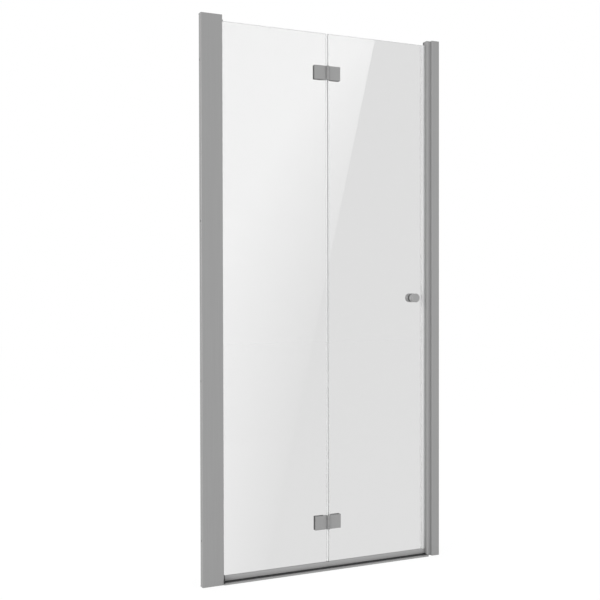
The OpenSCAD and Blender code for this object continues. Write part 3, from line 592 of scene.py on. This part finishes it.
def two_lipped_wiper(name, node, body):
    """The bar is a flat strip. Down each lip u runs from 0 to 1, and it leans out by u squared
    and stops LIP_SHORT above the floor of its box."""
    lo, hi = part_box(node)
    under = hi.z - WIPER_HEAD
    u = np.linspace(0, 1, WIPER_POINTS)
    hang = np.c_[LIP_PLACE + LIP_LEAN * u ** 2, under - (under - lo.z - LIP_SHORT) * u]
    bar = np.c_[lo.y + (hi.y - lo.y) * u, np.full(WIPER_POINTS, hi.z)]
    piece = drawn(name, [(bar, bar - (0, WIPER_HEAD), False), wall(hang, WIPER_LIP),
                         wall(hang * (-1, 1), WIPER_LIP)],
                  [(lo.x, hi.x)], True, body, rubber)
    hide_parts(node)


two_lipped_wiper("wiper_under_pivoting_pane", "pivot_wiper", "pivot_leaf")
two_lipped_wiper("wiper_under_folding_pane", "folding_wiper", "folding_leaf")

# ---- glass hinges ----
# Zinc castings, brushed on a belt and plated in satin chrome: the belt leaves short fine
# scratches across each face. Their bevels and rounds, the knuckles among them, are painted
# darker, which is painted shade. Steel screws in nylon sleeves clamp them through holes in the
# glass, with rubber gaskets between.
SCRATCH_MM, ALONG_BELT = 0.35, (0.03, 1, 1)
# The third tone paints bevels and rounds darker: painted shade.
PLATE, PLATE_PALE, PLATE_EDGE_SHADE = "939393", "a4a4a4", "838383"
PLATE_METAL, PLATE_LOW, PLATE_HIGH = 0.5, 0.38, 0.5
PLATE_BUMP, PLATE_DEPTH = 0.08, 0.0001


def brushed_plate():
    """Brushed plating: scratches drawn out along X, a little coarser than real ones so that they
    show, with a change of sheen over them. A face that looks square to no axis is a bevel or a
    round, which is painted darker: painted shade."""
    material = fresh("satin chrome plate")
    tree = material.node_tree
    place = add(tree, "ShaderNodeTexCoord")
    along = add(tree, "ShaderNodeMapping",
                {"Vector": place.outputs["Object"], "Scale": ALONG_BELT})
    scratch = add(tree, "ShaderNodeTexNoise",
                  {"Vector": along.outputs[0], "Scale": 1000 / SCRATCH_MM, "Detail": 4.0,
                   "Roughness": 0.7})
    tone = add(tree, "ShaderNodeMix",
               {0: scratch.outputs[0], 6: linear(PLATE), 7: linear(PLATE_PALE)},
               data_type="RGBA")
    edge = off_square(tree, place)
    # Bevels and rounds are painted darker: painted shade.
    tone = add(tree, "ShaderNodeMix",
               {0: edge.outputs[0], 6: tone.outputs[2], 7: linear(PLATE_EDGE_SHADE)},
               data_type="RGBA")
    sheen = add(tree, "ShaderNodeMapRange",
                {0: scratch.outputs[0], 1: NOISE_LOW, 2: NOISE_HIGH, 3: PLATE_LOW, 4: PLATE_HIGH})
    bump = add(tree, "ShaderNodeBump",
               {"Height": scratch.outputs[0], "Strength": PLATE_BUMP, "Distance": PLATE_DEPTH})
    skin = add(tree, "ShaderNodeBsdfPrincipled",
               {"Base Color": tone.outputs[2], "Metallic": PLATE_METAL,
                "Roughness": sheen.outputs[0], "Normal": bump.outputs[0]})
    add(tree, "ShaderNodeOutputMaterial", {"Surface": skin.outputs[0]})
    return material


plate = brushed_plate()
for hinge in ("upper_hinge", "lower_hinge"):
    dress(plate, hinge + "_pivot_plate", hinge + "_pivot_back",
          hinge + "_folding_plate", hinge + "_folding_back")
    dress(steel, hinge + "_pin")
dress(steel, "pivot_hinge_screws", "folding_hinge_screws")
dress(nylon, "pivot_hinge_sleeves", "folding_hinge_sleeves")
dress(rubber, "pivot_hinge_gaskets", "folding_hinge_gaskets")

# ---- seal between the panes ----
# Extruded clear PVC, soft and slightly hazy, pushed on the edge of the folding pane and cut at
# the hinges: a clip, and a soft hollow bulb that the other pane presses.
CLIP_WALL, BULB_WALL = 0.0007, 0.0005
CLIP_FLARE, CLIP_ROUND, END_GAP = 0.0003, 0.0003, 0.0003
QUARTER_POINTS, LEG_POINTS, BEND_POINTS, BULB_POINTS = 9, 14, 5, 49
VINYL, VINYL_COVER, VINYL_IOR = "dadbdb", 0.06, 1.45
DRAW_MM, ALONG_SEAL = 1.4, (1, 1, 0.01)
HAZE_LOW, HAZE_HIGH = 0.12, 0.22


def hazy_vinyl():
    """Clear plastic with a little haze, drawn out along its length."""
    material = fresh("clear vinyl")
    tree = material.node_tree
    place = add(tree, "ShaderNodeTexCoord")
    along = add(tree, "ShaderNodeMapping",
                {"Vector": place.outputs["Object"], "Scale": ALONG_SEAL})
    draw = add(tree, "ShaderNodeTexNoise",
               {"Vector": along.outputs[0], "Scale": 1000 / DRAW_MM, "Detail": 2.0})
    haze = add(tree, "ShaderNodeMapRange",
               {0: draw.outputs[0], 1: NOISE_LOW, 2: NOISE_HIGH, 3: HAZE_LOW, 4: HAZE_HIGH})
    skin = add(tree, "ShaderNodeBsdfPrincipled",
               {"Base Color": linear(VINYL), "Roughness": haze.outputs[0], "IOR": VINYL_IOR,
                "Alpha": VINYL_COVER})
    add(tree, "ShaderNodeOutputMaterial", {"Surface": skin.outputs[0]})
    return material


def arc(x, y, rx, ry, start, end, count=QUARTER_POINTS):
    """Points on an ellipse about x, y with half axes rx, ry, from one angle to another."""
    a = np.radians(np.linspace(start, end, count))
    return np.c_[x + rx * np.cos(a), y + ry * np.sin(a)]


def clip_line(edge, tip, half, thick):
    """Centre line of a clip on the edge of a pane: a leg from its tip along one face, a quarter
    turn, and straight across the edge to its own mirror image. Each leg flares off the glass by
    a cube law at its tip; the quarter turn's inside is rounded a little less than the glass."""
    s = np.sign(edge - tip)
    bend = edge - s * CLIP_ROUND
    u = np.linspace(0, 1, LEG_POINTS)
    flare = CLIP_FLARE * (1 - u) ** 3 + half + thick / 2
    leg = np.c_[tip + (bend - tip) * u, -flare]
    r = CLIP_ROUND + thick / 2
    turn = arc(0, CLIP_ROUND - half, r, r, -90, 0, BEND_POINTS)[1:] * (s, 1) + (bend, 0)
    lower = np.vstack([leg, turn])
    return np.vstack([lower, (lower * (1, -1))[::-1]])


def bulb_seal():
    """The clip, and a round bulb from it to the other pane's side, in three lengths that stop a
    little short of the hinges."""
    lo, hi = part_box("centre_seal")
    edge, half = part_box("folding_glass")[0].x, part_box("folding_glass")[1].y
    low_hinge, top_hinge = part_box("lower_hinge_pivot_plate"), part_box("upper_hinge_pivot_plate")
    reach = (edge - CLIP_WALL - lo.x - BULB_WALL) / 2
    bulb = arc(lo.x + BULB_WALL / 2 + reach, 0, reach, half, 0, 360, BULB_POINTS)[:-1]
    clip = clip_line(edge, hi.x - END_GAP, half, CLIP_WALL)
    return [wall(clip, CLIP_WALL), wall(bulb, BULB_WALL, True)], [
        (lo.z, low_hinge[0].z - END_GAP),
        (low_hinge[1].z + END_GAP, top_hinge[0].z - END_GAP),
        (top_hinge[1].z + END_GAP, hi.z)]


vinyl = hazy_vinyl()
strips, spans = bulb_seal()
between = drawn("bulb_seal_between_panes", strips, spans, False, "folding_leaf",
                vinyl)
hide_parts("centre_seal")
let_light_through(between)

# ---- closing seal and magnets ----
# The same clear plastic on the free edge: a clip, and a rounded case that holds a magnet strip.
# The strips, here and in the closing profile, are ferrite in flexible plastic, cased in film.
CASE_WALL, CASE_CORNER = 0.0009, 0.0018
FILM, FILM_PALE, SPECK_MM = "f4f5f5", "fafafa", 1.1
FILM_ROUGH, FILM_IOR = 0.5, 1.5


def case_seal():
    """The clip, and a case round four quarter turns, one to each corner."""
    lo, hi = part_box("closing_seal")
    edge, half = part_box("folding_glass")[1].x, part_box("folding_glass")[1].y
    near = edge + CLIP_WALL + CASE_WALL / 2 + CASE_CORNER
    far = hi.x - CASE_WALL / 2 - CASE_CORNER
    y = hi.y - CASE_WALL / 2 - CASE_CORNER
    turns = ((far, y, 0), (near, y, 90), (near, -y, 180), (far, -y, 270))
    case = np.vstack([arc(cx, cy, CASE_CORNER, CASE_CORNER, a, a + 90) for cx, cy, a in turns])
    clip = clip_line(edge, lo.x + END_GAP, half, CLIP_WALL)
    return [wall(clip, CLIP_WALL), wall(case, CASE_WALL, True)], [(lo.z, hi.z)]


def magnet_film():
    """White film with a faint speckle from the powder under it, drawn coarse enough to show."""
    material = fresh("cased magnet strip")
    tree = material.node_tree
    place = add(tree, "ShaderNodeTexCoord")
    speck = add(tree, "ShaderNodeTexNoise",
                {"Vector": place.outputs["Object"], "Scale": 1000 / SPECK_MM, "Detail": 3.0})
    tone = add(tree, "ShaderNodeMix",
               {0: speck.outputs[0], 6: linear(FILM), 7: linear(FILM_PALE)}, data_type="RGBA")
    skin = add(tree, "ShaderNodeBsdfPrincipled",
               {"Base Color": tone.outputs[2], "Roughness": FILM_ROUGH, "IOR": FILM_IOR})
    add(tree, "ShaderNodeOutputMaterial", {"Surface": skin.outputs[0]})
    return material


strips, spans = case_seal()
closing = drawn("case_seal_on_free_edge", strips, spans, False, "folding_leaf",
                vinyl)
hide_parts("closing_seal")
let_light_through(closing)
dress(magnet_film(), "frame_magnet", "closing_magnet")

# ---- knob ----
# Two brass knobs back to back, turned on a lathe, plated in satin chrome and drawn together by a
# steel stud in a nylon sleeve through the glass, on black rubber washers. The tool's fine rings
# run round the axis of the knob, and its flank is painted a little paler than its face, which is
# painted light.
RING_MM = 0.4
# The third tone is the flank's, painted paler: painted light.
TURNED, TURNED_PALE, TURNED_FLANK_PAINTED_LIGHT = "959595", "a6a6a6", "acacac"
TURNED_METAL, TURNED_LOW, TURNED_HIGH = 0.4, 0.36, 0.48
FACE_ENDS, FLANK_STARTS = 0.8, 0.4


def turned_plate():
    """Plating over turned rings: noise of the distance from the axis and of the place along it,
    coarser than real rings so that they show. The face gives way to the flank's paler tone,
    which is painted light, as the share of the surface's direction along the axis falls from
    FACE_ENDS to FLANK_STARTS."""
    lo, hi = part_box("front_knob")
    material = fresh("satin chrome plate turned")
    tree = material.node_tree
    place = add(tree, "ShaderNodeTexCoord")
    middle = (-(lo.x + hi.x) / 2, 0, -(lo.z + hi.z) / 2)
    centred = add(tree, "ShaderNodeMapping",
                  {"Vector": place.outputs["Object"], "Location": middle})
    centred = add(tree, "ShaderNodeSeparateXYZ", {0: centred.outputs[0]})
    flat = add(tree, "ShaderNodeCombineXYZ",
               {"X": centred.outputs["X"], "Z": centred.outputs["Z"]})
    reach = add(tree, "ShaderNodeVectorMath", {0: flat.outputs[0]}, operation="LENGTH")
    turned = add(tree, "ShaderNodeCombineXYZ",
                 {"X": reach.outputs["Value"], "Y": centred.outputs["Y"]})
    ring = add(tree, "ShaderNodeTexNoise",
               {"Vector": turned.outputs[0], "Scale": 1000 / RING_MM, "Detail": 2.0,
                "Roughness": 0.6})
    tone = add(tree, "ShaderNodeMix",
               {0: ring.outputs[0], 6: linear(TURNED), 7: linear(TURNED_PALE)},
               data_type="RGBA")
    facing = add(tree, "ShaderNodeSeparateXYZ", {0: place.outputs["Normal"]})
    facing = add(tree, "ShaderNodeMath", {0: facing.outputs["Y"]}, operation="ABSOLUTE")
    flank = add(tree, "ShaderNodeMapRange",
                {0: facing.outputs[0], 1: FACE_ENDS, 2: FLANK_STARTS, 3: 0.0, 4: 1.0})
    # The flank is painted paler: painted light.
    tone = add(tree, "ShaderNodeMix",
               {0: flank.outputs[0], 6: tone.outputs[2], 7: linear(TURNED_FLANK_PAINTED_LIGHT)},
               data_type="RGBA")
    sheen = add(tree, "ShaderNodeMapRange",
                {0: ring.outputs[0], 1: NOISE_LOW, 2: NOISE_HIGH, 3: TURNED_LOW, 4: TURNED_HIGH})
    bump = add(tree, "ShaderNodeBump",
               {"Height": ring.outputs[0], "Strength": PLATE_BUMP, "Distance": PLATE_DEPTH})
    skin = add(tree, "ShaderNodeBsdfPrincipled",
               {"Base Color": tone.outputs[2], "Metallic": TURNED_METAL,
                "Roughness": sheen.outputs[0], "Normal": bump.outputs[0]})
    add(tree, "ShaderNodeOutputMaterial", {"Surface": skin.outputs[0]})
    return material


dress(turned_plate(), "front_knob", "back_knob")
dress(steel, "knob_stud")
dress(nylon, "knob_sleeve")
dress(rubber, "knob_washers")

bpy.context.view_layer.update()
